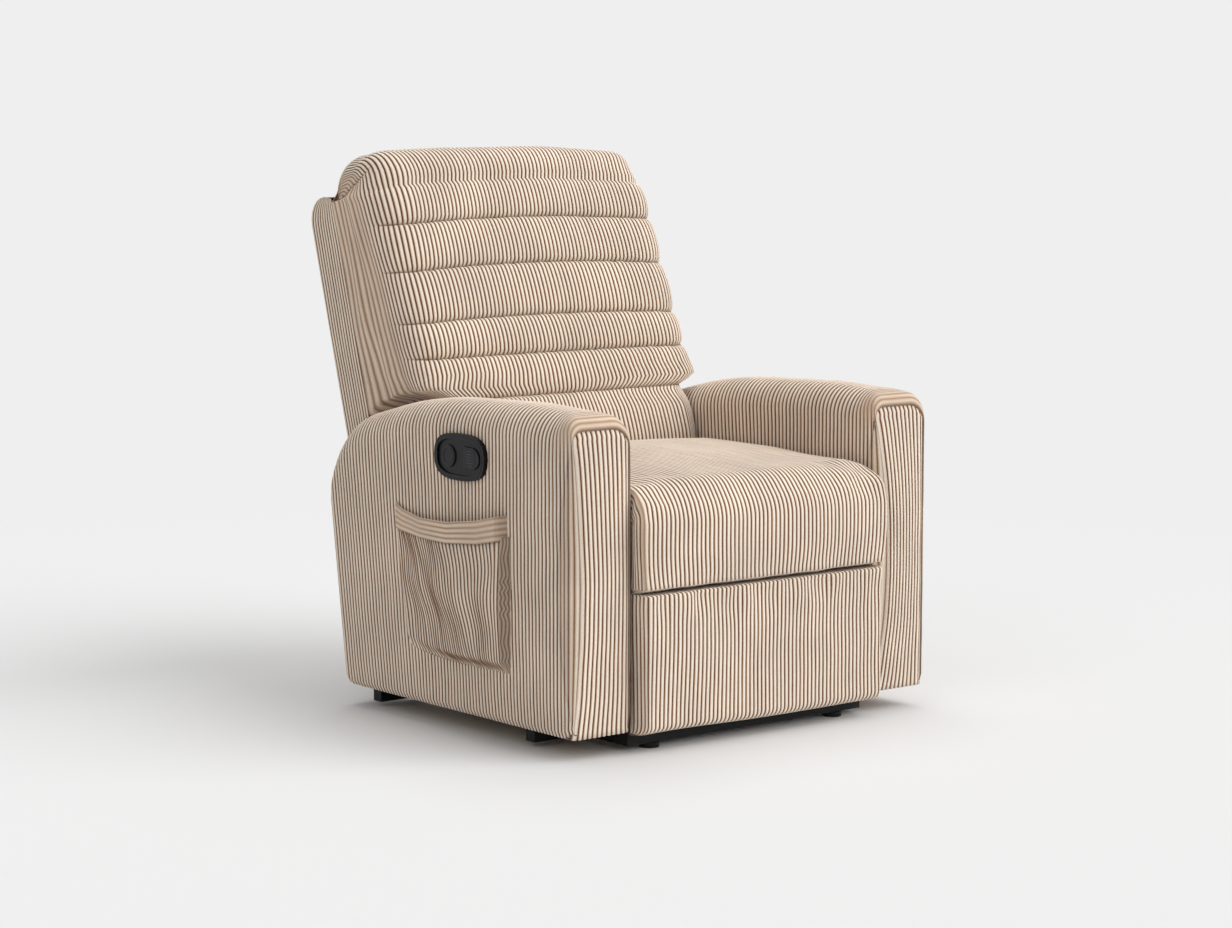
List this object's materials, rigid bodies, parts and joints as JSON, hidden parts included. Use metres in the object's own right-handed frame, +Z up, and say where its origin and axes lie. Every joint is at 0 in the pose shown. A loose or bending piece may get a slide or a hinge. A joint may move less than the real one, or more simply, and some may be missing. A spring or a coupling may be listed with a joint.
{
  "type": "recliner armchair",
  "caption": "Power recliner armchair in wide-rib corduroy with a channelled reclining back, linkage footrest, side pocket and arm switch panel.",
  "frame": {"origin": "centre of the footprint's bounding box, on the floor", "axes": "+Z up; the chair faces -Y; +X is the sitter's left, so the pocket and the switch panel are on -X"},
  "size_m": [0.8724, 0.9676, 1.0449],
  "materials": {
    "black_plastic": "fine-grained satin",
    "black_steel": "black powder coat",
    "button_plastic": "satin",
    "corduroy": "wide-wale cut pile",
    "nylon": "moulded nylon",
    "plywood": "sawn plywood",
    "spring_steel": "oiled wire",
    "zinc_steel": "zinc plated"
  },
  "bodies": {
    "base": {"arm_cover_left": "corduroy", "arm_cover_right": "corduroy", "arm_frame_left": "plywood", "arm_frame_right": "plywood", "arm_front_panel_left": "corduroy", "arm_front_panel_right": "corduroy", "base_cross_front": "black_steel", "base_cross_rear": "black_steel", "base_rail_left": "black_steel", "base_rail_right": "black_steel", "foot_front_left": "black_plastic", "foot_front_right": "black_plastic", "foot_rear_left": "black_plastic", "foot_rear_right": "black_plastic", "glide_rail_left": "zinc_steel", "glide_rail_right": "zinc_steel", "side_pocket": "corduroy", "switch_housing": "black_plastic"},
    "button_recline": {"button_recline": "button_plastic"},
    "button_return": {"button_return": "button_plastic"},
    "seat": {"actuator_track": "black_steel", "gearbox": "black_plastic", "glide_shoe_front_left": "nylon", "glide_shoe_front_right": "nylon", "glide_shoe_rear_left": "nylon", "glide_shoe_rear_right": "nylon", "motor": "black_steel", "seat_cross_tube": "zinc_steel", "seat_cushion": "corduroy", "seat_rail_front": "plywood", "seat_rail_left": "plywood", "seat_rail_rear": "plywood", "seat_rail_right": "plywood", "seat_spring_left": "spring_steel", "seat_spring_middle": "spring_steel", "seat_spring_right": "spring_steel", "side_plate_left": "zinc_steel", "side_plate_right": "zinc_steel", "spindle": "zinc_steel"},
    "back": {"back_bracket_left": "zinc_steel", "back_bracket_right": "zinc_steel", "back_cushion": "corduroy", "back_outer_cover": "corduroy", "back_post_left": "plywood", "back_post_right": "plywood", "back_rail_bottom": "plywood", "back_rail_top": "plywood"},
    "lift_links": {"lift_link_left": "zinc_steel", "lift_link_right": "zinc_steel", "torque_tube": "zinc_steel"},
    "cross_links": {"cross_link_left": "zinc_steel", "cross_link_right": "zinc_steel"},
    "front_links": {"front_link_left": "zinc_steel", "front_link_right": "zinc_steel"},
    "footrest": {"footrest_board": "plywood", "footrest_pad": "corduroy", "pad_bracket_left": "zinc_steel", "pad_bracket_right": "zinc_steel"},
    "carriage": {"carriage": "black_plastic"}
  },
  "joints": [
    {"name": "seat_glide", "type": "slide", "parent": "base", "child": "seat", "axis": [0, -1, 0], "range_m": [0, 0.03]},
    {"name": "back_recline", "type": "hinge", "parent": "seat", "child": "back", "pos_m": [0.0162, 0.15618, 0.39], "axis": [-1, 0, 0], "range_deg": [0, 45]},
    {"name": "footrest_extend", "type": "hinge", "parent": "seat", "child": "lift_links", "pos_m": [0.0162, -0.28682, 0.285], "axis": [-1, 0, 0], "range_deg": [0, 90]},
    {"name": "cross_link_turn", "type": "hinge", "parent": "lift_links", "child": "cross_links", "pos_m": [0.0162, -0.21149, 0.12705], "axis": [-1, 0, 0], "range_deg": [-124.21, 0]},
    {"name": "front_link_turn", "type": "hinge", "parent": "lift_links", "child": "front_links", "pos_m": [0.0162, -0.19211, 0.08643], "axis": [-1, 0, 0], "range_deg": [-124.21, 0]},
    {"name": "footrest_turn", "type": "hinge", "parent": "front_links", "child": "footrest", "pos_m": [0.0162, -0.31232, 0.25495], "axis": [-1, 0, 0], "range_deg": [0, 124.21]},
    {"name": "carriage_travel", "type": "slide", "parent": "seat", "child": "carriage", "axis": [0, -1, 0], "range_m": [0, 0.06366]},
    {"name": "button_recline_press", "type": "slide", "parent": "base", "child": "button_recline", "axis": [1, 0, 0], "range_m": [0, 0.002], "stiffness_N_per_m": 400, "springref_m": -0.002},
    {"name": "button_return_press", "type": "slide", "parent": "base", "child": "button_return", "axis": [1, 0, 0], "range_m": [0, 0.002], "stiffness_N_per_m": 400, "springref_m": -0.002}
  ],
  "couplings": [
    {"joint": "seat_glide", "follows": "back_recline", "m_per_rad": 0.038197},
    {"joint": "cross_link_turn", "follows": "footrest_extend", "ratio": -1.38},
    {"joint": "front_link_turn", "follows": "footrest_extend", "ratio": -1.38},
    {"joint": "footrest_turn", "follows": "footrest_extend", "ratio": 1.38},
    {"joint": "carriage_travel", "follows": "footrest_extend", "m_per_rad": 0.040514}
  ]
}
